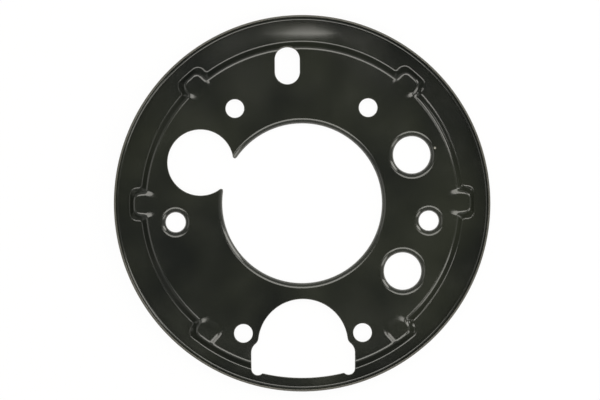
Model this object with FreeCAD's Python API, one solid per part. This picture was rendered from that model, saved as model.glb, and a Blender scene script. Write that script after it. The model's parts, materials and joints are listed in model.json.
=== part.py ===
# A drum brake's dust shield, pressed from one steel sheet.
# Millimetres. The origin is on the axis of the central bore, at the underside
# of the rim band. +Z points at the brake drum, +Y to the top of the plate.
import FreeCAD, Part
import math
import os

# The sheet and its bends. A bend is laid out in flats that touch its true
# radius, each turning the sheet by no more than bend_turn degrees.
sheet = 1.5
inner_bend = 2.0
outer_bend = inner_bend + sheet
bend_turn = 40.0

# The plate's rim: an edge turned up at a right angle round the drum
plate_r = 141.0
lip_height = 8.0

# The raised plateau, its step and the flat band left round it
plateau_height = 4.1
step_slope = 45.0
band_width = 18.8
sector_band_width = 10.8

# The shoe ledges: six pads struck up a little higher than the plateau. Each
# roof sinks back into the plateau between two distances from the rim.
pad_rise = 1.0
pad_slope = 63.0
pad_half_width = 12.9
pad_band_width = 10.5
pad_ramp_start = 24.5
pad_ramp_end = 30.2
pad_side_spread = 41.7
pad_bottom_spread = 36.8
pad_corner_spare = 0.8
lobe_inset = 0.4
lobe_corner_r = 1.5
shortest_side = 0.001

# The central bore and the round opening that runs into it. The opening's
# centre stands a little outside the bore's left side.
bore_r = 60.0
side_opening_r = 24.75
side_opening_out = 16.1
side_opening_x = -(bore_r + side_opening_out)
side_opening_y = 31.0
tooth_tip_r = 1.6
tooth_tip_overrun = 0.1

# Drawn collars
collar_straight = 1.5
service_hole_r = 14.0
service_upper_x = 82.6
service_upper_y = 35.8
service_lower_x = 75.2
service_lower_y = -51.5
cable_hole_r = 7.45
cable_hole_x = 95.1
cable_hole_y = -13.7

# Plain fixing holes. The lower two stand a web of sheet away from the cut-out.
fixing_hole_r = 6.95
fixing_upper_x = 50.0
fixing_upper_y = 71.4
fixing_lower_web = 4.05
fixing_lower_y = -97.35

# The adjuster slot
slot_width = 18.7
slot_length = 28.0
slot_x = -10.45
slot_y = 103.35

# The bottom cut-out, measured up from the strip that closes it. Its shoulders
# stand out past its dome.
strip_width = 9.7
cutout_overhang = 5.2
cutout_relief_r = 4.8
cutout_relief_sink = 2.4
cutout_shoulder_rise = 19.1
cutout_shoulder_r = 9.0
cutout_neck_r = 6.0
cutout_dome_rise = 25.7
cutout_dome_r = 33.7
cutout_half_width = cutout_dome_r + cutout_overhang
fixing_lower_x = cutout_dome_r + fixing_lower_web + fixing_hole_r

# How far a cutting tool runs past the sheet
tool_run = 5.0

node_name = "dust_shield"
up = FreeCAD.Vector(0, 0, 1)


def polar(radius, angle, z=0.0):
    """The point at a radius and an angle in degrees about the bore's axis."""
    turn = math.radians(angle)
    return FreeCAD.Vector(radius * math.cos(turn), radius * math.sin(turn), z)


def bearing(point):
    """The angle in degrees of a point seen from the bore's axis."""
    return math.degrees(math.atan2(point.y, point.x))


# A plan outline is a list of runs, taken anticlockwise. A straight run is
# ("line", start, end). A round one is ("arc", centre, radius, from, to), with
# its angles in degrees; it turns clockwise where the outline is hollow.


def outward(run):
    """The level direction that leaves the outline, at the start of a run."""
    if run[0] == "line":
        along = (run[2] - run[1]).normalize()
        return FreeCAD.Vector(along.y, -along.x, 0)
    side = 1 if run[4] > run[3] else -1
    return polar(side, run[3])


def run_edge(run, inset, z):
    """The edge of a run, moved in from the outline by inset, at a height."""
    lift = FreeCAD.Vector(0, 0, z)
    if run[0] == "line":
        back = outward(run) * -inset
        return Part.LineSegment(run[1] + back + lift, run[2] + back + lift).toShape()
    side = 1 if run[4] > run[3] else -1
    radius = run[2] - side * inset
    first = run[1] + polar(radius, run[3]) + lift
    middle = run[1] + polar(radius, (run[3] + run[4]) / 2) + lift
    last = run[1] + polar(radius, run[4]) + lift
    return Part.Arc(first, middle, last).toShape()


def run_start(run):
    """The first point of a run."""
    if run[0] == "line":
        return run[1]
    return run[1] + polar(run[2], run[3])


def bend_folds(radius, angle):
    """The folds of a bend, as (along, drop) from where it starts and its centre's level."""
    count = math.ceil(angle / bend_turn)
    turn = math.radians(angle / count)
    reach = radius / math.cos(turn / 2)
    turns = [(index + 0.5) * turn for index in range(count)]
    return [(reach * math.sin(at), reach * math.cos(at)) for at in turns]


def step_run(height, slope, foot_r, top_r):
    """The level width of a step: two bends and the slope between them."""
    turn = math.radians(slope)
    bends = foot_r + top_r
    rise = height - bends * (1 - math.cos(turn))
    return bends * math.sin(turn) + rise / math.tan(turn)


def step_section(base, height, slope, foot_r, top_r):
    """A step's section as (inset, height) points, from its first fold to its last."""
    width = step_run(height, slope, foot_r, top_r)
    foot_centre = base + foot_r
    top_centre = base + height - top_r
    foot = [(x, foot_centre - z) for x, z in bend_folds(foot_r, slope)]
    crest = [(width - x, top_centre + z) for x, z in bend_folds(top_r, slope)]
    return foot + crest[::-1]


def boss(outline, base, height, slope, foot_r, top_r, floor):
    """A solid with a flat top, whose step follows an outline given at its foot."""
    section = step_section(base, height, slope, foot_r, top_r)
    section.insert(0, (section[0][0], floor))
    faces = []
    for run in outline:
        start = run_start(run)
        direction = outward(run)
        points = [start - direction * x + FreeCAD.Vector(0, 0, z) for x, z in section]
        for first, last in zip(points, points[1:]):
            edge = Part.LineSegment(first, last).toShape()
            if run[0] == "line":
                faces.append(edge.extrude(run[2] - run[1]))
            else:
                faces.append(edge.revolve(run[1], up, run[4] - run[3]))
    for inset, level in (section[0], section[-1]):
        edges = [run_edge(run, inset, level) for run in outline]
        faces.append(Part.Face(Part.Wire(Part.__sortEdges__(edges))))
    shell = Part.makeShell(faces)
    shell.sewShape()
    solid = Part.makeSolid(shell)
    if solid.Volume < 0:
        solid.reverse()
    return solid


# Plan outlines of the plateau and the pads


def side_point(angle, across, along):
    """A point given across and along the centre line of a pad."""
    turn = math.radians(angle)
    forward = FreeCAD.Vector(math.cos(turn), math.sin(turn), 0)
    sideways = FreeCAD.Vector(-math.sin(turn), math.cos(turn), 0)
    return forward * along + sideways * across


def round_centre(angle, side, half_width, radius, front_r):
    """The centre of a lobe's outer corner, round between its side and its front."""
    across = half_width - radius
    along = math.sqrt((front_r - radius) ** 2 - across**2)
    return side_point(angle, side * across, along), along


def hollow_centre(angle, side, half_width, radius, step_r):
    """The centre of the hollow corner between a lobe's side and the step."""
    across = half_width + radius
    along = math.sqrt((step_r + radius) ** 2 - across**2)
    return side_point(angle, side * across, along), along


def corner_that_fits(half_width, corner_r, hollow_r, front_r, step_r):
    """A lobe's corner radius, no larger than the side that it shares with the hollow."""
    along = math.sqrt((step_r + hollow_r) ** 2 - (half_width + hollow_r) ** 2)
    room = (front_r**2 - half_width**2 - along**2) / (2 * (front_r - half_width))
    return min(corner_r, room)


def straight_side(start, end, forward):
    """A lobe's straight side, or nothing where its two corners meet."""
    if (end - start).dot(forward) < shortest_side:
        return []
    return [("line", start, end)]


def lobe(first, last, half_width, corner_r, hollow_r, front_r, step_r):
    """The runs of a lobe between the pad centre lines at two angles."""
    corner_r = corner_that_fits(half_width, corner_r, hollow_r, front_r, step_r)
    hollow_in, along_in = hollow_centre(first, -1, half_width, hollow_r, step_r)
    round_in, reach_in = round_centre(first, -1, half_width, corner_r, front_r)
    round_out, reach_out = round_centre(last, 1, half_width, corner_r, front_r)
    hollow_out, along_out = hollow_centre(last, 1, half_width, hollow_r, step_r)
    start = bearing(hollow_in) % 360
    front_from = first + (bearing(round_in) - first + 180) % 360 - 180
    front_to = last + (bearing(round_out) - last + 180) % 360 - 180
    entry = first + (start - first + 180) % 360 - 180
    leave = last + (bearing(hollow_out) - last + 180) % 360 - 180
    centre = FreeCAD.Vector(0, 0, 0)
    side_in = straight_side(
        side_point(first, -half_width, along_in),
        side_point(first, -half_width, reach_in),
        polar(1, first),
    )
    side_out = straight_side(
        side_point(last, half_width, reach_out),
        side_point(last, half_width, along_out),
        polar(-1, last),
    )
    runs = [
        ("arc", hollow_in, hollow_r, entry + 180, first + 90),
        *side_in,
        ("arc", round_in, corner_r, first - 90, front_from),
        ("arc", centre, front_r, front_from, front_to),
        ("arc", round_out, corner_r, front_to, last + 90),
        *side_out,
        ("arc", hollow_out, hollow_r, last + 270, leave + 180),
    ]
    return entry, leave, runs


def plateau_outline(corner_r):
    """The foot of the plateau's step: a circle with four lobes and a bottom sector."""
    step_r = plate_r - band_width
    front_r = plate_r - sector_band_width
    half_width = pad_half_width - lobe_inset
    spans = [
        (0.0, 0.0),
        (90.0 - pad_side_spread, 90.0 - pad_side_spread),
        (90.0 + pad_side_spread, 90.0 + pad_side_spread),
        (180.0, 180.0),
        (270.0 - pad_bottom_spread, 270.0 + pad_bottom_spread),
    ]
    lobes = [
        lobe(first, last, half_width, corner_r, lobe_corner_r, front_r, step_r)
        for first, last in spans
    ]
    runs = []
    for index, (entry, leave, lobe_runs) in enumerate(lobes):
        next_entry = lobes[(index + 1) % len(lobes)][0]
        if next_entry < leave:
            next_entry += 360
        runs += lobe_runs
        runs.append(("arc", FreeCAD.Vector(0, 0, 0), step_r, leave, next_entry))
    return runs


def pad_outline(angle, corner_r):
    """The foot of one pad: straight sides, a front on the plate's circle, a flat end."""
    front_r = plate_r - pad_band_width
    inner = plate_r - pad_ramp_end - 2 * corner_r
    round_in, reach = round_centre(angle, -1, pad_half_width, corner_r, front_r)
    round_out, reach = round_centre(angle, 1, pad_half_width, corner_r, front_r)
    front_from = angle + (bearing(round_in) - angle + 180) % 360 - 180
    front_to = angle + (bearing(round_out) - angle + 180) % 360 - 180
    across = pad_half_width - corner_r
    near = inner + corner_r
    return [
        (
            "line",
            side_point(angle, -pad_half_width, near),
            side_point(angle, -pad_half_width, reach),
        ),
        ("arc", round_in, corner_r, angle - 90, front_from),
        ("arc", FreeCAD.Vector(0, 0, 0), front_r, front_from, front_to),
        ("arc", round_out, corner_r, front_to, angle + 90),
        (
            "line",
            side_point(angle, pad_half_width, reach),
            side_point(angle, pad_half_width, near),
        ),
        ("arc", side_point(angle, across, near), corner_r, angle + 90, angle + 180),
        ("line", side_point(angle, across, inner), side_point(angle, -across, inner)),
        ("arc", side_point(angle, -across, near), corner_r, angle + 180, angle + 270),
    ]


# The pressed form


def revolved(points, x, y):
    """A ring: a closed section of (radius, height) points turned about an axis."""
    corners = [FreeCAD.Vector(x + radius, y, z) for radius, z in points]
    section = Part.Face(Part.makePolygon(corners + corners[:1]))
    return section.revolve(FreeCAD.Vector(x, y, 0), up, 360)


def disc_with_lip():
    """The flat blank with its rim turned up, before the plateau is drawn."""
    bend_x = plate_r - outer_bend
    top = sheet + lip_height
    outer = [(bend_x + x, outer_bend - z) for x, z in bend_folds(outer_bend, 90)]
    inner = [(bend_x + x, outer_bend - z) for x, z in bend_folds(inner_bend, 90)]
    edge = [(plate_r, top), (plate_r - sheet, top)]
    return revolved([(0, 0)] + outer + edge + inner[::-1] + [(0, sheet)], 0, 0)


def roof_cut(angle, top):
    """What lies over a pad's sloping roof, out to the pad's sides and past its end."""
    start = plate_r - pad_ramp_start
    end = 2 * (plate_r - pad_ramp_end) - start
    past = end - 2 * pad_half_width
    sunk = top - 2 * pad_rise
    across = 2 * pad_half_width
    over = top + tool_run
    section = [(start, top), (end, sunk), (past, sunk), (past, over), (start, over)]
    corners = [
        side_point(angle, -across, along) + FreeCAD.Vector(0, 0, z)
        for along, z in section
    ]
    face = Part.Face(Part.makePolygon(corners + corners[:1]))
    return face.extrude(side_point(angle, 2 * across, 0))


def pressed_bosses(base, foot_r, top_r, floor):
    """The plateau and its pads, as the solid below one face of the sheet."""
    plateau_corner = pad_corner_spare + step_run(
        plateau_height, step_slope, foot_r, top_r
    )
    pad_height = plateau_height + pad_rise
    pad_corner = pad_corner_spare + step_run(pad_height, pad_slope, foot_r, top_r)
    plateau = boss(
        plateau_outline(plateau_corner),
        base,
        plateau_height,
        step_slope,
        foot_r,
        top_r,
        floor,
    )
    pad_angles = [
        0.0,
        90.0 - pad_side_spread,
        90.0 + pad_side_spread,
        180.0,
        270.0 - pad_bottom_spread,
        270.0 + pad_bottom_spread,
    ]
    pads = [
        boss(
            pad_outline(angle, pad_corner),
            base,
            pad_height,
            pad_slope,
            foot_r,
            top_r,
            floor,
        ).cut(roof_cut(angle, base + pad_height))
        for angle in pad_angles
    ]
    return plateau, pads


def pressed_sheet():
    """The blank with the plateau and the pads pressed up out of it."""
    plateau, pads = pressed_bosses(sheet, inner_bend, outer_bend, sheet / 2)
    upper = disc_with_lip().fuse([plateau] + pads)
    hollow, pad_hollows = pressed_bosses(0.0, outer_bend, inner_bend, -tool_run)
    lower = hollow.fuse(pad_hollows)
    return upper.cut(lower)


# Holes and openings


def collar(radius, x, y):
    """A drawn collar: the plateau bent down and run straight inside a hole."""
    top = sheet + plateau_height
    bend_r = radius + outer_bend
    bend_z = top - outer_bend
    end = bend_z - collar_straight
    inner = [(bend_r - across, bend_z + z) for across, z in bend_folds(outer_bend, 90)]
    outer = [(bend_r - across, bend_z + z) for across, z in bend_folds(inner_bend, 90)]
    mouth = [(bend_r, top), (bend_r, plateau_height)]
    foot = [(radius + sheet, end), (radius, end)]
    return revolved(inner[::-1] + mouth + outer + foot, x, y)


def drill(radius, x, y):
    """A round cutting tool through the whole plate."""
    height = sheet + lip_height + 2 * tool_run
    return Part.makeCylinder(radius, height, FreeCAD.Vector(x, y, -tool_run))


def prism(edges):
    """A cutting tool through the whole plate, from a closed plan outline."""
    face = Part.Face(Part.Wire(Part.__sortEdges__(edges)))
    face.translate(FreeCAD.Vector(0, 0, -tool_run))
    return face.extrude(FreeCAD.Vector(0, 0, sheet + lip_height + 2 * tool_run))


def arc_about(centre, radius, start, end):
    """An arc about a centre, from one angle to another in degrees."""
    return run_edge(("arc", centre, radius, start, end), 0, 0)


def circles_meet(a, a_r, b, b_r, side):
    """Where two circles cross, on the left (1) or right (-1) going from a to b."""
    gap = b - a
    along = (gap.Length**2 + a_r**2 - b_r**2) / (2 * gap.Length)
    across = math.sqrt(a_r**2 - along**2)
    forward = FreeCAD.Vector(gap).normalize()
    left = FreeCAD.Vector(-forward.y, forward.x, 0)
    return a + forward * along + left * (side * across)


def angle_from(centre, point):
    """The angle in degrees at which a point is seen from a centre."""
    return math.degrees(math.atan2(point.y - centre.y, point.x - centre.x))


def side_opening():
    """The round opening beside the bore, with the two teeth between them rounded."""
    centre = FreeCAD.Vector(side_opening_x, side_opening_y, 0)
    axis = FreeCAD.Vector(0, 0, 0)
    tip_reach = bore_r + tooth_tip_r - tooth_tip_overrun
    tips = [
        circles_meet(centre, side_opening_r + tooth_tip_r, axis, tip_reach, side)
        for side in (1, -1)
    ]
    inward = [angle_from(tip, axis) for tip in tips]
    back = [angle_from(tip, centre) for tip in tips]
    upper_turn = (inward[0] - back[0] + 180) % 360 - 180
    lower_turn = (inward[1] - back[1] + 180) % 360 - 180
    round_from = angle_from(centre, tips[0])
    round_to = angle_from(centre, tips[1])
    round_sweep = (round_to - round_from) % 360
    ends = [tip + polar(tooth_tip_r, angle) for tip, angle in zip(tips, inward)]
    return prism(
        [
            arc_about(centre, side_opening_r, round_from, round_from + round_sweep),
            arc_about(tips[0], tooth_tip_r, back[0], back[0] + upper_turn),
            arc_about(tips[1], tooth_tip_r, back[1], back[1] + lower_turn),
            Part.LineSegment(ends[0], axis).toShape(),
            Part.LineSegment(axis, ends[1]).toShape(),
        ]
    )


def adjuster_slot():
    """An upright slot with round ends."""
    radius = slot_width / 2
    half = slot_length / 2 - radius
    top = FreeCAD.Vector(slot_x, slot_y + half, 0)
    bottom = FreeCAD.Vector(slot_x, slot_y - half, 0)
    reach = FreeCAD.Vector(radius, 0, 0)
    return prism(
        [
            arc_about(top, radius, 0, 180),
            Part.LineSegment(top - reach, bottom - reach).toShape(),
            arc_about(bottom, radius, 180, 360),
            Part.LineSegment(bottom + reach, top + reach).toShape(),
        ]
    )


def bottom_cutout():
    """The dome-topped cut-out, closed below by a strip of the rim."""
    floor_r = plate_r - strip_width
    axis = FreeCAD.Vector(0, 0, 0)
    dome = FreeCAD.Vector(0, cutout_dome_rise - floor_r, 0)
    shoulder_x = cutout_half_width - cutout_shoulder_r
    shoulder = FreeCAD.Vector(shoulder_x, cutout_shoulder_rise - floor_r, 0)
    neck_reach = cutout_neck_r + cutout_shoulder_r
    neck = circles_meet(
        dome, cutout_dome_r + cutout_neck_r, shoulder, neck_reach, 1
    )
    relief_x = cutout_half_width - cutout_relief_r
    relief_reach = floor_r - cutout_relief_sink
    relief = FreeCAD.Vector(relief_x, -math.sqrt(relief_reach**2 - relief_x**2), 0)
    corner = circles_meet(axis, floor_r, relief, cutout_relief_r, -1)
    dome_to = angle_from(dome, neck)
    neck_from = angle_from(neck, dome) % 360
    neck_to = angle_from(neck, shoulder) % 360
    shoulder_from = angle_from(shoulder, neck)
    relief_from = angle_from(relief, corner)
    floor_from = angle_from(axis, corner)
    side = [
        arc_about(neck, cutout_neck_r, neck_from, neck_to),
        arc_about(shoulder, cutout_shoulder_r, 0, shoulder_from),
        Part.LineSegment(
            FreeCAD.Vector(cutout_half_width, shoulder.y, 0),
            FreeCAD.Vector(cutout_half_width, relief.y, 0),
        ).toShape(),
        arc_about(relief, cutout_relief_r, relief_from, 0),
    ]
    other_side = [edge.mirror(axis, FreeCAD.Vector(1, 0, 0)) for edge in side]
    closing = [
        arc_about(dome, cutout_dome_r, dome_to, 180 - dome_to),
        arc_about(axis, floor_r, floor_from, -180 - floor_from),
    ]
    return prism(side + other_side + closing)


def dust_shield():
    """The pressed sheet with its collars drawn and its openings punched."""
    collared = [
        (bore_r, 0.0, 0.0),
        (service_hole_r, service_upper_x, service_upper_y),
        (service_hole_r, service_lower_x, service_lower_y),
        (cable_hole_r, -cable_hole_x, cable_hole_y),
        (cable_hole_r, cable_hole_x, cable_hole_y),
    ]
    fixing = [
        (fixing_upper_x, fixing_upper_y),
        (-fixing_upper_x, fixing_upper_y),
        (fixing_lower_x, fixing_lower_y),
        (-fixing_lower_x, fixing_lower_y),
    ]
    plate = pressed_sheet()
    plate = plate.cut([drill(r + outer_bend, x, y) for r, x, y in collared])
    plate = plate.fuse([collar(r, x, y) for r, x, y in collared])
    plate = plate.cut([drill(fixing_hole_r, x, y) for x, y in fixing])
    plate = plate.cut([side_opening(), adjuster_slot(), bottom_cutout()])
    return plate.removeSplitter()


shield = dust_shield()
print(node_name, "solids", len(shield.Solids), "valid", shield.isValid())
print("volume in cubic centimetres", round(shield.Volume / 1000, 2))
print("box", shield.BoundBox)
os.makedirs("parts", exist_ok=True)
shield.exportStep("parts/" + node_name + ".step")
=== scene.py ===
# %% [markdown]
# # A drum brake's dust shield
# The object is one round plate of steel sheet, pressed, pierced and dipped in
# black paint. It closes the back of a drum brake and holds nothing inside. The
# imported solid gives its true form, and this lesson makes the skin that is
# looked at: the same sheet with soft bends, rolled edges and a glossy finish.

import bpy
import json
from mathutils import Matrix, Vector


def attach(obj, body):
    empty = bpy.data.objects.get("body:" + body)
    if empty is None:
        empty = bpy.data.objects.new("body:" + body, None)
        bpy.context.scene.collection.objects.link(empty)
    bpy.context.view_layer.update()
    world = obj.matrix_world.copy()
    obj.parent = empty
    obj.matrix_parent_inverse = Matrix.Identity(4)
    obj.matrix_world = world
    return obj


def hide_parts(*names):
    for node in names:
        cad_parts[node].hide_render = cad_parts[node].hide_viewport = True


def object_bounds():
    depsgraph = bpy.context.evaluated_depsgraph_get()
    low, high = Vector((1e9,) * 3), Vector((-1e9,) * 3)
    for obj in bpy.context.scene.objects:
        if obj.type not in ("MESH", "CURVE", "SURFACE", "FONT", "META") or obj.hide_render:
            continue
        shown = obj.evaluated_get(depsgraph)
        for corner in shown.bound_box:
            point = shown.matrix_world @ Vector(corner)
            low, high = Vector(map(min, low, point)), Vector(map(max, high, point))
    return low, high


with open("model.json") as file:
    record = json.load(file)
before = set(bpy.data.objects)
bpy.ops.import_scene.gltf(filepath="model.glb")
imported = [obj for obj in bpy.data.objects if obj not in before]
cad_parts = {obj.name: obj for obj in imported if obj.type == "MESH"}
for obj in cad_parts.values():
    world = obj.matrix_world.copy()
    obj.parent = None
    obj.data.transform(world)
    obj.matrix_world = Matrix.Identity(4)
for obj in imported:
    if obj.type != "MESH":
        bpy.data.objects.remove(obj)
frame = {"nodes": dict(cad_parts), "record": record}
cad_low, cad_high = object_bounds()
print("solids", list(frame["nodes"]), "from", list(cad_low), "to", list(cad_high))

# %% [markdown]
# ## Sizes taken from the solid
# A skin that stands for a solid has to lie where the solid lies. So the plate's
# radius and depth come from its box, and the holes from the mounts in the
# record. The maths below is in millimetres, as on a drawing, and is turned into
# metres once, at the end.

# %% Read the holes
import json
import math

import bpy
import numpy as np
from mathutils import geometry

METRES = 0.001
tau = math.tau
plate_r = cad_high.x / METRES
lip_top = cad_high.z / METRES
mounts = {mount["name"]: mount for mount in frame["record"]["mounts"]}


def hole(name):
    """A mount's centre and radius in millimetres: x, y, r."""
    mount = mounts[name]
    return mount["pos_m"][0] / METRES, mount["pos_m"][1] / METRES, mount["dims"]["r_mm"]


def pair(name):
    """The two holes of a bolt pattern, half its spacing to each side."""
    mount = mounts[name]
    half = mount["dims"]["spacing_x_mm"] / 2
    level = mount["pos_m"][1] / METRES
    radius = mount["dims"]["hole_r_mm"]
    return [(half, level, radius), (-half, level, radius)]


bore = hole("central_bore")
side_opening = hole("side_opening")
cable_holes = [hole("cable_hole_left"), hole("cable_hole_right")]
service_holes = [hole("service_hole_upper"), hole("service_hole_lower")]
fixing_holes = pair("upper_fixing") + pair("lower_fixing")
print("plate", round(plate_r, 2), "bore", bore, "fixings", fixing_holes)

# %% [markdown]
# ## The sheet
# Every bend in a pressed sheet has the thickness between its two radii, so one
# surface through the middle of the sheet describes both faces. That middle
# surface bends at the mean of the inner and the outer radius. The rim has the
# tightest bend, the drawn wall a wider one, and the collars the widest.

# %% Sheet and bends
sheet = 1.5
half_sheet = sheet / 2
inner_bend = 2.0
outer_bend = inner_bend + sheet
bend_r = (inner_bend + outer_bend) / 2
drawn_r = 3.05
quarter_bend = bend_r * math.pi / 2
plateau_height = 4.1
pad_rise = 0.85
collar_outer = 4.4
collar_foot = 0.6
edge_r = 0.4


def step_slope(height, width):
    """The slope a of a step: w sin a + (2 r - h) cos a = 2 r, solved for a."""
    spare = 2 * drawn_r - height
    sine = np.minimum(2 * drawn_r / np.hypot(width, spare), 1)
    return np.arcsin(sine) - np.arctan2(spare, width)


def step_height(inset, height, width):
    """Height of a step of a given width, at a distance inside its foot.

    A foot arc r - sqrt(r^2 - x^2), a straight slope x tan(a), and a crest arc
    that is the foot's turned over. Every value may be an array.
    """
    slope = step_slope(height, width)
    reach = drawn_r * np.sin(slope)
    rise = drawn_r * (1 - np.cos(slope))
    up = np.clip(inset, 0, reach)
    down = np.clip(width - inset, 0, reach)
    foot = drawn_r - np.sqrt(drawn_r**2 - up**2)
    crest = drawn_r - np.sqrt(drawn_r**2 - down**2)
    between = np.clip(inset - reach, 0, width - 2 * reach) * np.tan(slope)
    return foot + between + rise - crest


trial = np.degrees(step_slope(plateau_height, np.array([6.0, 6.9])))
print("slopes of steps 6 and 6.9 wide", trial.round(1))

# %% [markdown]
# ## Outlines as runs
# Tools that press and cut sheet are drawn with straight runs and arcs. Keeping
# each outline as such runs gives two things from one description: points along
# it at any distance inside, and for any point its distance from the outline.

# %% Runs
def polar(radius, angle):
    """The point at a radius and an angle: (r cos a, r sin a)."""
    return np.array([radius * math.cos(angle), radius * math.sin(angle)])


def line(start, end):
    """A straight run, with the outline's inside on its left."""
    return {"start": np.array(start, float), "end": np.array(end, float)}


def arc(centre, radius, start, end):
    """A round run between two angles; it turns clockwise where the outline is hollow."""
    return {"centre": np.array(centre, float), "r": radius, "from": start, "to": end}


def along(run, share, inset=0.0):
    """Points at shares 0 to 1 of a run, moved inside by inset.

    A straight run moves along its left normal. An arc's radius shrinks by the
    inset, or grows where it is hollow.
    """
    share = np.asarray(share)[:, None]
    if "start" in run:
        step = run["end"] - run["start"]
        inward = np.array([-step[1], step[0]]) / np.linalg.norm(step)
        return run["start"] + step * share + inward * inset
    side = 1 if run["to"] > run["from"] else -1
    angle = run["from"] + (run["to"] - run["from"]) * share
    radius = run["r"] - side * inset
    return run["centre"] + radius * np.hstack([np.cos(angle), np.sin(angle)])


def run_length(run):
    """A straight run's length, or an arc's radius times its angle."""
    if "start" in run:
        return float(np.linalg.norm(run["end"] - run["start"]))
    return abs(run["to"] - run["from"]) * run["r"]


def inset_from(points, run):
    """Signed distance inside one run, and endless where the run isn't abreast."""
    if "start" in run:
        step = run["end"] - run["start"]
        length = np.linalg.norm(step)
        ahead = (points - run["start"]) @ (step / length)
        inside = (points - run["start"]) @ (np.array([-step[1], step[0]]) / length)
        return np.where((ahead >= 0) & (ahead <= length), inside, np.inf)
    side = 1 if run["to"] > run["from"] else -1
    off = points - run["centre"]
    middle = (run["from"] + run["to"]) / 2
    swing = (np.arctan2(off[:, 1], off[:, 0]) - middle + math.pi) % tau - math.pi
    inside = side * (run["r"] - np.hypot(off[:, 0], off[:, 1]))
    return np.where(abs(swing) <= abs(run["to"] - run["from"]) / 2, inside, np.inf)


def inset_of(points, outline):
    """Signed distance inside an outline: that of its nearest run."""
    best = np.full(len(points), np.inf)
    for run in outline:
        inside = inset_from(points, run)
        best = np.where(abs(inside) < abs(best), inside, best)
    return best


print("a unit circle's middle lies", inset_of(np.zeros((1, 2)), [arc((0, 0), 1, 0, 7)]))

# %% [markdown]
# ## Foot line and crest line
# The plateau is a circle with a lobe under each of the upper four shoe ledges
# and one broad sector at the bottom. A drawn wall has two lines: the foot,
# where the band starts to bend, and the crest, where the roof begins. Both are
# drawn with the same function. The crest's corners are rounder than those of a
# foot line that is only moved inwards, as metal is that flows round a corner.

# %% The two outlines
band_width = 18.8
ledge_band = 10.5
sector_band = 10.1
step_wall = 6.9
ledge_wall = 6.2
sector_wall = 6.7
side_wall = 5.9
pad_half_width = 12.9
side_spread = math.radians(41.7)
bottom_spread = math.radians(36.8)
top = math.pi / 2
bottom = 3 * math.pi / 2
pad_angles = np.array(
    [
        0.0,
        top - side_spread,
        top + side_spread,
        math.pi,
        bottom - bottom_spread,
        bottom + bottom_spread,
    ]
)


def turned(points, angle):
    """Points turned about the bore's axis: x cos a - y sin a, x sin a + y cos a."""
    c, s = np.cos(angle), np.sin(angle)
    x, y = points[..., 0], points[..., 1]
    return np.stack([x * c - y * s, x * s + y * c], axis=-1)


def lobe(first, last, half_width, corner_r, hollow_r, front_r, step_r):
    """The runs of a lobe that spans two ledge angles, and the bearings of its ends."""
    hollow = np.array(
        [
            math.sqrt((step_r + hollow_r) ** 2 - (half_width + hollow_r) ** 2),
            half_width + hollow_r,
        ]
    )
    crown = np.array(
        [
            math.sqrt((front_r - corner_r) ** 2 - (half_width - corner_r) ** 2),
            half_width - corner_r,
        ]
    )
    flip = np.array([1, -1])
    lean = math.atan2(hollow[1], hollow[0])
    open_angle = math.atan2(crown[1], crown[0])
    near = np.array([hollow[0], half_width])
    far = np.array([crown[0], half_width])
    entry, leave = first - lean, last + lean
    runs = [
        arc(turned(hollow * flip, first), hollow_r, entry + math.pi, first + top),
        line(turned(near * flip, first), turned(far * flip, first)),
        arc(turned(crown * flip, first), corner_r, first - top, first - open_angle),
        arc((0, 0), front_r, first - open_angle, last + open_angle),
        arc(turned(crown, last), corner_r, last + open_angle, last + top),
        line(turned(far, last), turned(near, last)),
        arc(turned(hollow, last), hollow_r, last + 3 * top, leave + math.pi),
    ]
    return entry, leave, runs


def outline(step_r, ledge_r, sector_r, half_width, corner_r, hollow_r):
    """Five lobes, joined by arcs of the step's circle."""
    spans = [(a, a, ledge_r) for a in pad_angles[:4]]
    spans.append((pad_angles[4], pad_angles[5], sector_r))
    lobes = [lobe(a, b, half_width, corner_r, hollow_r, r, step_r) for a, b, r in spans]
    runs = []
    for index, (entry, leave, own) in enumerate(lobes):
        after = lobes[(index + 1) % len(lobes)][0]
        runs += own + [arc((0, 0), step_r, leave, after + tau * (after < leave))]
    return runs


foot_line = outline(
    step_r=plate_r - band_width,
    ledge_r=plate_r - ledge_band,
    sector_r=plate_r - sector_band,
    half_width=pad_half_width,
    corner_r=6.7,
    hollow_r=1.5,
)
crest_line = outline(
    step_r=plate_r - band_width - step_wall,
    ledge_r=plate_r - ledge_band - ledge_wall,
    sector_r=plate_r - sector_band - sector_wall,
    half_width=pad_half_width - side_wall,
    corner_r=4.4,
    hollow_r=4.2,
)
print("runs of foot and crest", len(foot_line), len(crest_line))

# %% [markdown]
# ## The relief
# Between the two lines stands the wall, and its slope follows from how far
# apart they are. Over the plateau a ledge ends in a joggle: the sheet rises
# by just under a millimetre in a gentle double bend. The joggle's outline is a
# rectangle with round inner corners, whose sides open a little towards the bore.

# %% Heights
roof_half_width = 8.0
roof_flare = 0.09
flare_from = plate_r - 22.0
roof_end = plate_r - 28.8
roof_corner_r = 5.5
side_joggle = 3.7
end_joggle = 9.5


def nearest_pad(points):
    """Points turned so that their nearest ledge lies on the +X axis."""
    bearing = np.arctan2(points[:, 1], points[:, 0])
    gaps = (bearing[:, None] - pad_angles + math.pi) % tau - math.pi
    return turned(points, -pad_angles[abs(gaps).argmin(axis=1)])


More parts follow.
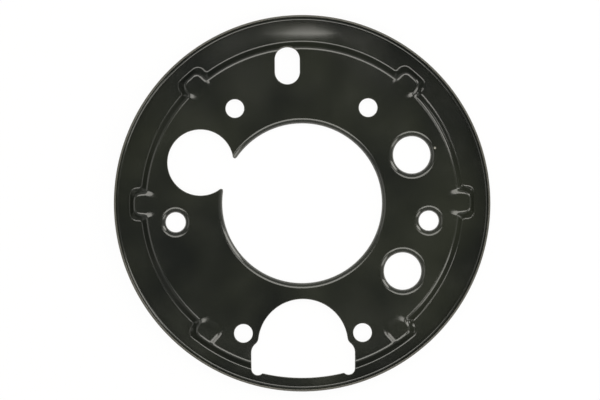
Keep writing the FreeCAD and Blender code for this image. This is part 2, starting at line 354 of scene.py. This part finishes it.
def pad_share(local):
    """How much of its rise a ledge has, 0 to 1.

    From the distance d inside the joggle's middle line, over the joggle's width
    w: t = d / w + 1/2, smoothed as 3 t^2 - 2 t^3.
    """
    along_pad, across = local[:, 0], abs(local[:, 1])
    half_width = roof_half_width + roof_flare * (flare_from - along_pad)
    past_end = np.maximum(roof_end + roof_corner_r - along_pad, 0)
    past_side = np.maximum(across - half_width + roof_corner_r, 0)
    reach = np.hypot(past_end, past_side)
    lengthwise = (past_end / np.maximum(reach, 1e-9)) ** 2
    width = side_joggle + (end_joggle - side_joggle) * lengthwise
    t = np.clip((roof_corner_r - reach) / width + 0.5, 0, 1)
    return t**2 * (3 - 2 * t)


# %% [markdown]
# ## What the press leaves behind
# A real pressing is never perfect, and a glossy coat shows it. The wall keeps
# fine draw marks where the sheet ran over the die, on the right most of all. The
# band bulges a little over the adjuster's slot, and the plateau's edge droops
# beside the cut-out. They are tenths of a millimetre, but each one bends the
# reflected light. They are shapes, and not paint, so every view shows them.

# %% Marks, bulge and droop
mark_depth = 0.06
mark_pitch = 1.6
marked = [(30, 15), (6, 5), (-50, 5)]
bulge_rise = 0.6
bulge_at = (88, 14)
bulge_from_rim = 19
bulge_outer, bulge_inner = 8.0, 22.0
droop_fall = 0.65
droop_at = (270, 26)
droop_from_rim = 40
droop_length = 22


def around(points, centre, half_width):
    """1 at a bearing in degrees, and exp(-x^2) at x half widths away from it."""
    bearing = np.degrees(np.arctan2(points[:, 1], points[:, 0]))
    gap = (bearing - centre + 180) % 360 - 180
    return np.exp(-((gap / half_width) ** 2))


def draw_marks(points, inside, outside):
    """Ridges along the wall, d sin(2 pi x / p), faded out at its foot and crest."""
    fade = np.clip(inside, 0, 1) * np.clip(outside, 0, 1)
    where_deep = sum(around(points, *place) for place in marked)
    return mark_depth * fade * where_deep * np.sin(tau * inside / mark_pitch)


def bulge(points):
    """A rise above the slot, on the wall's circle: steep outwards, gentle inwards."""
    off = np.hypot(points[:, 0], points[:, 1]) - (plate_r - bulge_from_rim)
    width = np.where(off > 0, bulge_outer, bulge_inner)
    return bulge_rise * around(points, *bulge_at) * np.exp(-((off / width) ** 2))


def droop(points):
    """A fall of the plateau's edge at the bottom: t^2 of the way over its last part."""
    reach = np.hypot(points[:, 0], points[:, 1])
    t = np.clip((reach - plate_r + droop_from_rim) / droop_length, 0, 1)
    return droop_fall * around(points, *droop_at) * t**2


def relief(points):
    """Height over the band: a step whose width is the gap between foot and crest."""
    inside = np.maximum(inset_of(points, foot_line), 0)
    outside = np.maximum(-inset_of(points, crest_line), 0)
    roof = plateau_height + pad_rise * pad_share(nearest_pad(points)) - droop(points)
    wall = step_height(inside, roof, inside + outside)
    return wall + bulge(points) + draw_marks(points, inside, outside)


samples = np.array([[135.0, 0], [122.0, 0], [100.0, 0], [119.0, 30]])
print("relief along a ledge and beside it", relief(samples).round(2))

# %% [markdown]
# ## From blank to pressing
# A press bends a flat blank. The same is done here: each point of the flat
# sheet is carried to its place. Over the rim and round the holes the distance
# along the sheet is kept, so a ring of the blank becomes a lip or a collar.

# %% The pressing
rim_bend_start = plate_r - outer_bend
lip_straight = lip_top - outer_bend
blank_r = rim_bend_start + quarter_bend + lip_straight
collars = [bore] + service_holes + cable_holes
collar_r = collar_outer - half_sheet
collar_turn = collar_r * math.pi / 2
collar_depth = collar_turn + sheet + plateau_height - collar_outer - collar_foot


def round_bend(travel, radius):
    """Level and upright travel over a quarter bend: r sin(a) and r (1 - cos(a)).

    Past the bend the sheet runs straight, so the rest of the travel is upright.
    """
    turn = np.minimum(travel / radius, math.pi / 2)
    rest = np.maximum(travel - radius * math.pi / 2, 0)
    return radius * np.sin(turn), radius * (1 - np.cos(turn)) + rest


def press(flat):
    """Carry points of the blank to the middle of the sheet: x, y, z."""
    reach = np.hypot(flat[:, 0], flat[:, 1])
    out, rise = round_bend(np.maximum(reach - rim_bend_start, 0), bend_r)
    held = (np.minimum(reach, rim_bend_start) + out) / np.maximum(reach, 1e-9)
    plan = flat * held[:, None]
    level = half_sheet + relief(flat) + rise
    for x, y, radius in collars:
        off = flat - (x, y)
        far = np.hypot(off[:, 0], off[:, 1])
        start = radius + collar_outer
        inward, drop = round_bend(np.maximum(start - far, 0), collar_r)
        pulled = (x, y) + off * ((start - inward) / np.maximum(far, 1e-9))[:, None]
        plan = np.where((far < start)[:, None], pulled, plan)
        level -= drop
    return np.column_stack([plan, level])


def press_normals(flat, step=0.01):
    """Upward normals: the cross product of two small steps over the pressing."""
    right = press(flat + (step, 0)) - press(flat - (step, 0))
    ahead = press(flat + (0, step)) - press(flat - (0, step))
    normal = np.cross(right, ahead)
    return normal / np.linalg.norm(normal, axis=1)[:, None]


print("blank radius", round(blank_r, 2), "lip's end", press(np.array([[blank_r, 0]])))

# %% [markdown]
# ## Cut edges
# The blank ends in loops: its own rim and one for each opening. Each loop is
# set back by the radius that the edge is rounded with, because no sheared
# edge is perfectly sharp and its thin highlight shows in the picture.

# %% Simple openings
hole_spacing = 0.9
collar_spacing = 1.2
least_sides = 48
slot_width = 18.7
slot_length = 28.0
slot_x = -10.45
slot_y = 103.35


def trace(runs, spacing):
    """Evenly spaced points along runs, each run without its last point."""
    pieces = []
    for run in runs:
        count = max(2, math.ceil(run_length(run) / spacing))
        pieces.append(along(run, np.arange(count) / count))
    return np.vstack(pieces)


def round_cut(x, y, radius):
    """A circle, set back by the edge's rounding."""
    return trace([arc((x, y), radius + edge_r, 0, tau)], hole_spacing)


def collar_cut(x, y, radius):
    """The blank's hole for a collar: the collar's depth inside where it bends."""
    blank_hole = radius + collar_outer - collar_depth + edge_r
    count = max(least_sides, math.ceil(tau * radius / collar_spacing))
    return trace([arc((x, y), blank_hole, 0, tau)], tau * blank_hole / count)


def slot_cut():
    """An upright slot: two half circles, joined by straight sides."""
    radius = slot_width / 2 + edge_r
    half = (slot_length - slot_width) / 2
    low, high = slot_y - half, slot_y + half
    left, right = slot_x - radius, slot_x + radius
    return trace(
        [
            arc((slot_x, high), radius, 0, math.pi),
            line((left, high), (left, low)),
            arc((slot_x, low), radius, math.pi, tau),
            line((right, low), (right, high)),
        ],
        hole_spacing,
    )


loops = [round_cut(*each) for each in fixing_holes]
loops += [collar_cut(*each) for each in service_holes + cable_holes]
loops.append(slot_cut())
print("simple openings", len(loops), "points", sum(map(len, loops)))

# %% [markdown]
# ## The bottom cut-out
# A dome stands on two shoulders, and small reliefs keep its lower corners from
# tearing. Neighbouring arcs touch, so each centre follows from two radii.

# %% Dome, necks, shoulders and reliefs
strip_width = 9.7
cutout_overhang = 5.2
dome_rise = 25.7
cutout_dome_r = 33.7
cutout_half_width = cutout_dome_r + cutout_overhang
shoulder_rise = 19.1
cutout_shoulder_r = 9.0
cutout_neck_r = 6.0
cutout_relief_r = 4.8
relief_sink = 2.4
floor_spacing = 1.2


def circles_meet(a, a_r, b, b_r, side):
    """Where two circles cross: (d^2 + ra^2 - rb^2) / 2d along, then to the side."""
    a, b = np.array(a, float), np.array(b, float)
    gap = np.linalg.norm(b - a)
    ahead = (gap**2 + a_r**2 - b_r**2) / (2 * gap)
    forward = (b - a) / gap
    left = np.array([-forward[1], forward[0]])
    return a + forward * ahead + left * side * math.sqrt(a_r**2 - ahead**2)


def angle_of(centre, point):
    """The angle at which a point is seen from a centre."""
    return math.atan2(point[1] - centre[1], point[0] - centre[0])


def cutout_cut():
    """The cut-out's right side, its mirror image, and the strip's arc below."""
    floor_r = plate_r - strip_width + edge_r
    half_width = cutout_half_width + edge_r
    dome_r = cutout_dome_r + edge_r
    dome = (0, dome_rise - floor_r + edge_r)
    shoulder_r = cutout_shoulder_r + edge_r
    shoulder = (half_width - shoulder_r, shoulder_rise - floor_r + edge_r)
    neck_r = cutout_neck_r - edge_r
    neck = circles_meet(dome, dome_r + neck_r, shoulder, neck_r + shoulder_r, 1)
    relief_r = cutout_relief_r + edge_r
    relief_x = half_width - relief_r
    hub_r = floor_r - edge_r - relief_sink
    hub = (relief_x, -math.sqrt(hub_r**2 - relief_x**2))
    corner = circles_meet((0, 0), floor_r, hub, relief_r, -1)
    dome_to = angle_of(dome, neck)
    side = [
        arc(hub, relief_r, angle_of(hub, corner), 0),
        line((half_width, hub[1]), (half_width, shoulder[1])),
        arc(shoulder, shoulder_r, 0, angle_of(shoulder, neck)),
        arc(neck, neck_r, angle_of(neck, shoulder) % tau, angle_of(neck, dome) % tau),
    ]
    right = trace(side, hole_spacing)
    ends = along(arc(dome, dome_r, dome_to, math.pi - dome_to), [0, 1])
    crown = trace([arc(dome, dome_r, dome_to, math.pi - dome_to)], hole_spacing)
    left = np.vstack([right, ends[:1]])[::-1] * (-1, 1)
    floor_from = angle_of((0, 0), corner)
    floor = trace([arc((0, 0), floor_r, -math.pi - floor_from, floor_from)], floor_spacing)
    return np.vstack([right, crown, left, floor[1:]])


loops.append(cutout_cut())
print("cut-out points", len(loops[-1]), "size", np.ptp(loops[-1], axis=0).round(1))

# %% [markdown]
# ## Bore and side opening
# The side opening breaks into the bore between two rounded teeth. The teeth run
# over the bore's collar, so their plan is carried back on to the flat blank,
# and the cut goes straight down the collar from there.

# %% Bore loop
tooth_r = 1.6
tooth_overrun = 0.1
tooth_reach = bore[2] + tooth_r - tooth_overrun
tooth_points = 9
collar_wall = 1.2
bore_spacing = 1.5
rim_count = 480


def back_to_blank(plan):
    """The blank point under a plan point on the bore's bend: radius s - r asin(x / r)."""
    reach = np.hypot(plan[:, 0], plan[:, 1])
    start = bore[2] + collar_outer
    into = np.clip((start - reach) / collar_r, 0, 1)
    blank = np.where(reach < start, start - collar_r * np.arcsin(into), reach)
    return plan * (blank / reach)[:, None]


def bore_cut():
    """The opening's arc, one tooth, the long way round the bore, the other tooth."""
    x, y, radius = side_opening
    centre = np.array([x, y])
    tips = [
        circles_meet(centre, radius + tooth_r, (0, 0), tooth_reach, side)
        for side in (1, -1)
    ]
    bearings = [angle_of((0, 0), tip) % tau for tip in tips]
    start = angle_of(centre, tips[0])
    sweep = (angle_of(centre, tips[1]) - start) % tau
    opening = trace([arc(centre, radius + edge_r, start, start + sweep)], hole_spacing)
    teeth = []
    for tip, bearing in zip(tips, bearings):
        outer = angle_of(tip, centre)
        turn = (bearing + math.pi - outer + math.pi) % tau - math.pi
        shares = np.arange(tooth_points) / (tooth_points - 1)
        rim = along(arc(tip, tooth_r - edge_r, outer, outer + turn), shares)
        blank = back_to_blank(rim)
        teeth.append(blank[np.hypot(rim[:, 0], rim[:, 1]) > bore[2] + half_sheet])
    foot = bore[2] + collar_outer - collar_depth + edge_r
    wall = np.linspace(foot + collar_wall, foot, 3)
    down = np.array([polar(r, bearings[1]) for r in wall])
    upward = np.array([polar(r, bearings[0]) for r in wall[::-1]])
    long_way = arc((0, 0), foot, bearings[1], bearings[0] + tau)
    bore_points = trace([long_way], bore_spacing)[1:]
    upper_tooth = teeth[0][::-1]
    return np.vstack([opening, teeth[1], down, bore_points, upward, upper_tooth[:-1]])


loops.append(bore_cut())
loops = [loop[::-1] for loop in loops]
loops.append(trace([arc((0, 0), blank_r - edge_r, 0, tau)], tau * blank_r / rim_count))
print("bore loop", len(loops[-2]), "loops", len(loops), "rim", len(loops[-1]))

# %% [markdown]
# ## Points over the blank
# A bend needs points close together across it and few along it. So the points
# lie in rows: at even turns over the rim and the collars, and at even steps on
# the wall, from its foot inwards and from its crest outwards. The flats get a
# coarse grid. This keeps highlights smooth with a small mesh.

# %% Rows across the bends
row_spacing = 1.7
row_insets = np.concatenate([[-0.8], np.arange(0, 3.4, 0.32)])
corner_turn = 0.14
small_corner_r = 20
before_bend = -1.5
collar_row_spacing = 1.6


def rows(outline, insets):
    """Points along an outline, once for each inset."""
    pieces = []
    for run in outline:
        turn = 0 if "start" in run else abs(run["to"] - run["from"])
        small = "r" in run and run["r"] < small_corner_r
        steps = turn / corner_turn if small else run_length(run) / row_spacing
        count = max(math.ceil(steps), 2)
        share = (np.arange(count) + 0.5) / count
        pieces += [along(run, share, inset) for inset in insets]
    return np.vstack(pieces)


def rings(x, y, radii, count):
    """Points on circles about one centre, with the same bearings on each."""
    angle = np.arange(count) * tau / count
    ring = np.column_stack([np.cos(angle), np.sin(angle)])
    return np.vstack([ring * radius + (x, y) for radius in radii])


bend_turns = np.linspace(0, math.pi / 2, 13)
lip_rows = quarter_bend + np.array([1.5, 3.0, 4.5])
rim_steps = np.concatenate([[before_bend], bend_turns * bend_r, lip_rows])
rim_rows = rings(0, 0, rim_bend_start + rim_steps, rim_count)
collar_steps = np.concatenate([[before_bend], bend_turns * collar_r])
collar_rows = []
for x, y, r in collars:
    count = max(least_sides, math.ceil(tau * r / collar_row_spacing))
    collar_rows.append(rings(x, y, r + collar_outer - collar_steps, count))
collar_rows = np.vstack(collar_rows)
wall_rows = np.vstack([rows(foot_line, row_insets), rows(crest_line, -row_insets)])
print("rows", len(rim_rows), len(collar_rows), len(wall_rows))

# %% [markdown]
# ## Which points stay
# A ledge's joggle gets a fine grid of its own, inside the crest line. Points in
# an opening or close to its edge are dropped, and so is one of any two that lie
# too close together.

# %% Thin the points
def inside_loop(points, loop):
    """Even-odd rule: a point is inside when a ray from it crosses an odd number of sides."""
    inside = np.zeros(len(points), bool)
    x, y = points[:, 0], points[:, 1]
    for (x0, y0), (x1, y1) in zip(loop, np.roll(loop, -1, axis=0)):
        crossed = (y0 > y) != (y1 > y)
        at = (x1 - x0) * (y - y0) / (y1 - y0 + 1e-300) + x0
        inside ^= crossed & (x < at)
    return inside


def clear_of(points, loop, gap):
    """True where a point is farther than the gap from every side of a loop."""
    clear = np.ones(len(points), bool)
    for a, b in zip(loop, np.roll(loop, -1, axis=0)):
        near = np.flatnonzero((abs(points - (a + b) / 2) < gap + 2).all(axis=1))
        side = b - a
        share = np.clip((points[near] - a) @ side / (side @ side), 0, 1)
        off = points[near] - a - share[:, None] * side
        clear[near[np.hypot(off[:, 0], off[:, 1]) < gap]] = False
    return clear


def on_sheet(points, gap=0.0):
    """True for points of the blank that keep the gap from its edges."""
    keep = np.hypot(points[:, 0], points[:, 1]) < blank_r - edge_r - gap
    for loop in loops[:-1]:
        low, high = loop.min(axis=0) - gap, loop.max(axis=0) + gap
        near = np.flatnonzero(((points > low) & (points < high)).all(axis=1) & keep)
        wrong = inside_loop(points[near], loop)
        if gap:
            wrong |= ~clear_of(points[near], loop, gap)
        keep[near[wrong]] = False
    return keep


def first_in_cell(points, size):
    """The first point in each square cell, so that no two lie too close."""
    cells = np.floor(points / size).astype(np.int64)
    first = np.unique(cells, axis=0, return_index=True)[1]
    return points[np.sort(first)]


joggle_step = 0.6
joggle_reach = (roof_end - 5.6, plate_r - 16)
joggle_half_width = 11.4
crest_gap = 0.3
edge_gap = 0.4
point_gap = 0.25
joggle_x = np.arange(*joggle_reach, joggle_step)
joggle_y = np.arange(-joggle_half_width, joggle_half_width + 0.1, joggle_step)
joggle_grid = np.stack(np.meshgrid(joggle_x, joggle_y), axis=-1).reshape(-1, 2)
joggle_points = np.vstack([turned(joggle_grid, angle) for angle in pad_angles])
joggle_points = joggle_points[inset_of(joggle_points, crest_line) >= crest_gap]
bent_points = np.vstack([wall_rows, collar_rows, rim_rows, joggle_points])
bent_points = first_in_cell(bent_points[on_sheet(bent_points, edge_gap)], point_gap)
print("points on bends", len(bent_points))

# %% [markdown]
# The flats need few points. A square cell that holds no point yet gets one, in
# its middle.

# %% Coarse grid on the flats
flat_step = 5.0
flat_gap = 1.0
column = 10000


def cell_of(points):
    """One number for the square cell of each point: a column's size x i + j."""
    cells = np.floor(points / flat_step).astype(int)
    return cells[:, 0] * column + cells[:, 1]


span = np.arange(-plate_r, plate_r, flat_step)
grid = np.stack(np.meshgrid(span, span), axis=-1).reshape(-1, 2)
grid = (np.floor(grid / flat_step) + 0.5) * flat_step
free = grid[~np.isin(cell_of(grid), cell_of(np.vstack([bent_points] + loops)))]
level = np.hypot(free[:, 0], free[:, 1]) < rim_bend_start
free = free[on_sheet(free, flat_gap) & level]
print("points on flats", len(free))

# %% [markdown]
# ## One closed skin
# The triangles are found once on the blank and used twice, for the upper and
# the lower face. Those that fall in an opening are left out.

# %% Triangles on the blank
loop_points = np.vstack(loops)
starts = np.cumsum([0] + [len(loop) for loop in loops])
sides = np.vstack(
    [
        np.column_stack([np.arange(a, b), np.roll(np.arange(a, b), -1)])
        for a, b in zip(starts, starts[1:])
    ]
)
blank = np.vstack([loop_points, bent_points, free])
merge_gap = 1e-6
found = geometry.delaunay_2d_cdt(blank.tolist(), sides.tolist(), [], 0, merge_gap, False)
flat = np.array([tuple(point) for point in found[0]])
triangles = np.array(found[2])
middles = flat[triangles].mean(axis=1)
triangles = triangles[on_sheet(middles)]
print("blank points", len(flat), "of", len(blank), "triangles", len(triangles))
print("loops kept in order", np.allclose(flat[: len(loop_points)], loop_points))

# %% [markdown]
# Half the sheet's thickness above and below the middle surface lie the two
# faces. Strips round every loop close them with a rolled edge. The normals come
# from the pressing itself and not from the triangles, so light runs smoothly
# over bends.

# %% Faces and rolled edges
normals = press_normals(flat)
middle = press(flat)
upper = middle + normals * half_sheet
lower = middle - normals * half_sheet
edge_turns = np.radians([30, 60, 90])


def off_sheet(loop):
    """Unit directions in the blank that point off the sheet, on the right of a loop."""
    ahead = np.roll(loop, -1, axis=0) - loop
    ahead /= np.linalg.norm(ahead, axis=1)[:, None]
    mean = ahead + np.roll(ahead, 1, axis=0)
    mean /= np.linalg.norm(mean, axis=1)[:, None]
    return np.column_stack([mean[:, 1], -mean[:, 0]])


def edge_rings(loop):
    """Rings of points and normals round an edge, from the upper face to the lower.

    At turn t a ring lies r sin(t) outside the loop and r (1 - cos(t)) below the
    face, and the lower half mirrors the upper one.
    """
    out = off_sheet(loop)
    up = press_normals(loop)
    across = press(loop + out * 0.01) - press(loop)
    across /= np.linalg.norm(across, axis=1)[:, None]
    places, facings = [], []
    for side, turns in ((1, edge_turns), (-1, edge_turns[::-1])):
        for turn in turns:
            centre = press(loop) + across * edge_r * math.sin(turn)
            height = half_sheet - edge_r * (1 - math.cos(turn))
            places.append(centre + up * side * height)
            facings.append(up * side * math.cos(turn) + across * math.sin(turn))
    return places, facings


vertices, facings = [upper, lower], [normals, -normals]
faces = [triangles, triangles[:, ::-1] + len(flat)]
count = 2 * len(flat)
sheared = [np.zeros(count)]
for start, loop in zip(starts, loops):
    size = len(loop)
    places, turned_out = edge_rings(loop)
    vertices += places
    facings += turned_out
    sheared.append(np.ones(size * len(places)))
    index = np.arange(size)
    rings_here = [start + index]
    rings_here += [count + k * size + index for k in range(len(places))]
    rings_here.append(len(flat) + start + index)
    count += size * len(places)
    for a, b in zip(rings_here, rings_here[1:]):
        a_next, b_next = np.roll(a, -1), np.roll(b, -1)
        faces.append(np.column_stack([a, b, b_next]))
        faces.append(np.column_stack([a, b_next, a_next]))
vertices = np.vstack(vertices) * METRES
facings = np.vstack(facings)
faces = np.vstack(faces)
print("skin points", len(vertices), "triangles", len(faces))

# %% [markdown]
# The skin takes the solid's place. Each point also keeps whether it lies on a
# sheared edge, where the paint is thin and its colour is a lighter grey, partly
# as painted highlight.

# %% Put the skin into the scene
skin = bpy.data.meshes.new("pressed_shield")
skin.from_pydata(vertices.tolist(), [], faces.tolist())
skin.polygons.foreach_set("use_smooth", np.ones(len(faces), bool))
skin.normals_split_custom_set_from_vertices(facings.tolist())
cut = skin.attributes.new("cut_edge", "FLOAT", "POINT")
cut.data.foreach_set("value", np.concatenate(sheared))
skin.update()
shield = bpy.data.objects.new("pressed_shield", skin)
bpy.context.scene.collection.objects.link(shield)
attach(shield, "root")
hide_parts("dust_shield")
print("skin box", vertices.min(axis=0), vertices.max(axis=0))

# %% [markdown]
# ## Black dip paint
# Dip paint is a thin glossy coat that follows the metal. The patterns are read
# at each point's place in the object, so they stay with it. A noise gives a
# soft cloud, and a range turns the cloud into a value or a mix of two colours.

# %% Paint
paint = bpy.data.materials.new("black_dip_paint")
paint.use_nodes = True
nodes, links = paint.node_tree.nodes, paint.node_tree.links
coat = nodes["Principled BSDF"]
coat.inputs["IOR"].default_value = 1.6
where = nodes.new("ShaderNodeTexCoord")


def cloud(scale, detail):
    """A noise over the plate, with its features 1 / scale metres wide."""
    noise = nodes.new("ShaderNodeTexNoise")
    noise.inputs["Scale"].default_value = scale
    noise.inputs["Detail"].default_value = detail
    links.new(where.outputs["Object"], noise.inputs["Vector"])
    return noise.outputs["Fac"]


def spread(fac, low, high, start=0.35, end=0.65):
    """A value from low to high, while fac goes from start to end."""
    span = nodes.new("ShaderNodeMapRange")
    for name, value in zip(("From Min", "From Max", "To Min", "To Max"), (start, end, low, high)):
        span.inputs[name].default_value = value
    links.new(fac, span.inputs["Value"])
    return span.outputs["Result"]


def mixed(fac, first, second):
    """Colours first to second by fac; each is a tuple or another node's colour."""
    mix = nodes.new("ShaderNodeMix")
    mix.data_type = "RGBA"
    links.new(fac, mix.inputs["Factor"])
    for socket, colour in ((mix.inputs["A"], first), (mix.inputs["B"], second)):
        if isinstance(colour, tuple):
            socket.default_value = colour
        else:
            links.new(colour, socket)
    return mix.outputs["Result"]


# %% [markdown]
# The colour is a very dark olive black with a faint film from handling. On the
# sheared edges the paint is worn, so they are less glossy, and their colour is a
# lighter grey that is partly worn paint and partly painted highlight. One small
# light grey spot is painted beside the upper service hole. Places and widths in
# the paint are in metres, as on the finished object.

# %% Smudges, worn edges with painted highlight, and a light spot
deep_black = (0.0092, 0.0104, 0.0092, 1)
olive_film = (0.0180, 0.0200, 0.0145, 1)
# a small light grey spot beside the upper service hole
light_grey_spot = (0.32, 0.31, 0.28, 1)
spot_at = (0.0999, 0.0408, 0.0056)
spot_width = 0.0011
# the cut edges' lighter grey: partly worn paint, partly painted highlight
worn_and_highlit_edge_grey = (0.05, 0.048, 0.038, 1)
solid_spot_width = 0.4 * spot_width
edge_wear_and_highlight = nodes.new("ShaderNodeAttribute")
edge_wear_and_highlight.attribute_name = "cut_edge"
film = mixed(spread(cloud(14, 5), 0, 1), deep_black, olive_film)
off_spot = nodes.new("ShaderNodeVectorMath")
off_spot.operation = "DISTANCE"
off_spot.inputs[1].default_value = spot_at
links.new(where.outputs["Object"], off_spot.inputs[0])
# the light grey spot: full inside its core, fading out to its width
spot_mask = spread(off_spot.outputs["Value"], 1, 0, solid_spot_width, spot_width)
# mixes in the cut edges' grey, worn paint and painted highlight together
edged = mixed(edge_wear_and_highlight.outputs["Fac"], film, worn_and_highlit_edge_grey)
links.new(mixed(spot_mask, edged, light_grey_spot), coat.inputs["Base Color"])
glossy, dulled = 0.12, 0.18
worn_roughness = 0.22
gloss = spread(cloud(30, 6), glossy, dulled)
rough = nodes.new("ShaderNodeMath")
rough.operation = "MULTIPLY_ADD"
rough.inputs[1].default_value = worn_roughness
links.new(edge_wear_and_highlight.outputs["Fac"], rough.inputs[0])
links.new(gloss, rough.inputs[2])
links.new(rough.outputs["Value"], coat.inputs["Roughness"])

# %% [markdown]
# The metal below the coat isn't quite flat, so the gloss swims a little.

# %% Ripples
ripple_height = 0.0001
swell = nodes.new("ShaderNodeBump")
swell.inputs["Distance"].default_value = ripple_height
swell.inputs["Strength"].default_value = 0.5
links.new(cloud(45, 3), swell.inputs["Height"])
links.new(swell.outputs["Normal"], coat.inputs["Normal"])
skin.materials.append(paint)
print("paint nodes", len(nodes))

# %% [markdown]
# ## White ground
# The photograph stands on plain white. The floor is white and takes the
# shield's shadow; to the camera it shows nearly pure white.

# %% Floor
floor_mesh = bpy.data.meshes.new("floor")
half_floor = 1.5
floor_level = -0.0002
camera_share = 0.95
corners = [(-1, -1), (1, -1), (1, 1), (-1, 1)]
places = [(x * half_floor, y * half_floor, floor_level) for x, y in corners]
floor_mesh.from_pydata(places, [], [(0, 1, 2, 3)])
floor = bpy.data.objects.new("floor", floor_mesh)
bpy.context.scene.collection.objects.link(floor)

white = bpy.data.materials.new("white_ground")
white.use_nodes = True
nodes, links = white.node_tree.nodes, white.node_tree.links
nodes["Principled BSDF"].inputs["Base Color"].default_value = (0.8, 0.8, 0.8, 1)
nodes["Principled BSDF"].inputs["Roughness"].default_value = 1.0
ray = nodes.new("ShaderNodeLightPath")
glow = nodes.new("ShaderNodeEmission")
glow.inputs["Strength"].default_value = 1.0
blend = nodes.new("ShaderNodeMixShader")
share = nodes.new("ShaderNodeMath")
share.operation = "MULTIPLY"
share.inputs[1].default_value = camera_share
links.new(ray.outputs["Is Camera Ray"], share.inputs[0])
links.new(share.outputs["Value"], blend.inputs["Fac"])
links.new(nodes["Principled BSDF"].outputs["BSDF"], blend.inputs[1])
links.new(glow.outputs["Emission"], blend.inputs[2])
links.new(blend.outputs["Shader"], nodes["Material Output"].inputs["Surface"])
floor_mesh.materials.append(white)
print("floor", half_floor * 2, "metres wide")

# %% [markdown]
# ## Studio light
# A glossy black part is drawn by what it mirrors. The flats mirror the dark
# room above the camera. Softboxes stand where the bends in the photograph turn
# bright: two long ones above and below, two low ones on the right and a faint
# one on the left. The room is lighter low down, which the rim mirrors.

# %% World and lamps
world = bpy.data.worlds.new("studio")
bpy.context.scene.world = world
world.use_nodes = True
nodes, links = world.node_tree.nodes, world.node_tree.links
direction = nodes.new("ShaderNodeTexCoord")
parts = nodes.new("ShaderNodeSeparateXYZ")
room = nodes.new("ShaderNodeValToRGB")
room.color_ramp.elements[0].color = (0.42, 0.42, 0.40, 1)
room.color_ramp.elements[1].color = (0.02, 0.02, 0.022, 1)
room.color_ramp.elements[0].position = 0.45
room.color_ramp.elements[1].position = 0.93
links.new(direction.outputs["Generated"], parts.inputs["Vector"])
links.new(parts.outputs["Z"], room.inputs["Fac"])
links.new(room.outputs["Color"], nodes["Background"].inputs["Color"])


lamp_distance = 2.0
lamp_colour = (1.0, 0.98, 0.91)


def softbox(name, bearing, tilt, wide, deep, power):
    """A rectangular lamp at a bearing and a tilt from straight up, facing the origin."""
    lamp = bpy.data.lights.new(name, "AREA")
    lamp.shape = "RECTANGLE"
    lamp.size, lamp.size_y = wide, deep
    lamp.energy = power
    lamp.color = lamp_colour
    stand = bpy.data.objects.new(name, lamp)
    turn, lean = math.radians(bearing), math.radians(tilt)
    stand.location = (
        lamp_distance * math.sin(lean) * math.cos(turn),
        lamp_distance * math.sin(lean) * math.sin(turn),
        lamp_distance * math.cos(lean),
    )
    stand.rotation_euler = (lean, 0, turn + math.pi / 2)
    stand.visible_camera = False
    bpy.context.scene.collection.objects.link(stand)


softbox("upper_box", bearing=88, tilt=27, wide=1.7, deep=1.05, power=23)
softbox("lower_box", bearing=270, tilt=27, wide=1.7, deep=0.9, power=21)
softbox("right_upper_box", bearing=30, tilt=67, wide=0.75, deep=1.75, power=19)
softbox("right_lower_box", bearing=-30, tilt=67, wide=0.75, deep=1.6, power=11)
softbox("left_box", bearing=180, tilt=55, wide=1.4, deep=1.2, power=4)

# %% [markdown]
# ## Camera
# The photograph looks straight down on the lying plate, nearly without
# perspective. A long lens from two metres does the same. The plate lies a
# little turned in the picture, so the camera turns the other way.

# %% Camera
pixel = 0.75 * METRES
picture_width = 600
pixels_aside, pixels_above = -2.1, 3.25
plate_turn = math.radians(-0.38)
roof_level = 0.006
view = bpy.data.cameras.new("camera")
view.sensor_width = 36
view.lens = 160
camera_height = picture_width * pixel * view.lens / view.sensor_width
camera = bpy.data.objects.new("camera", view)
camera.location = (pixels_aside * pixel, pixels_above * pixel, camera_height + roof_level)
camera.rotation_euler = (0, 0, plate_turn)
bpy.context.scene.collection.objects.link(camera)
bpy.context.scene.camera = camera
bpy.context.scene.view_settings.view_transform = "Standard"
print("camera", round(camera_height, 3), "metres up")
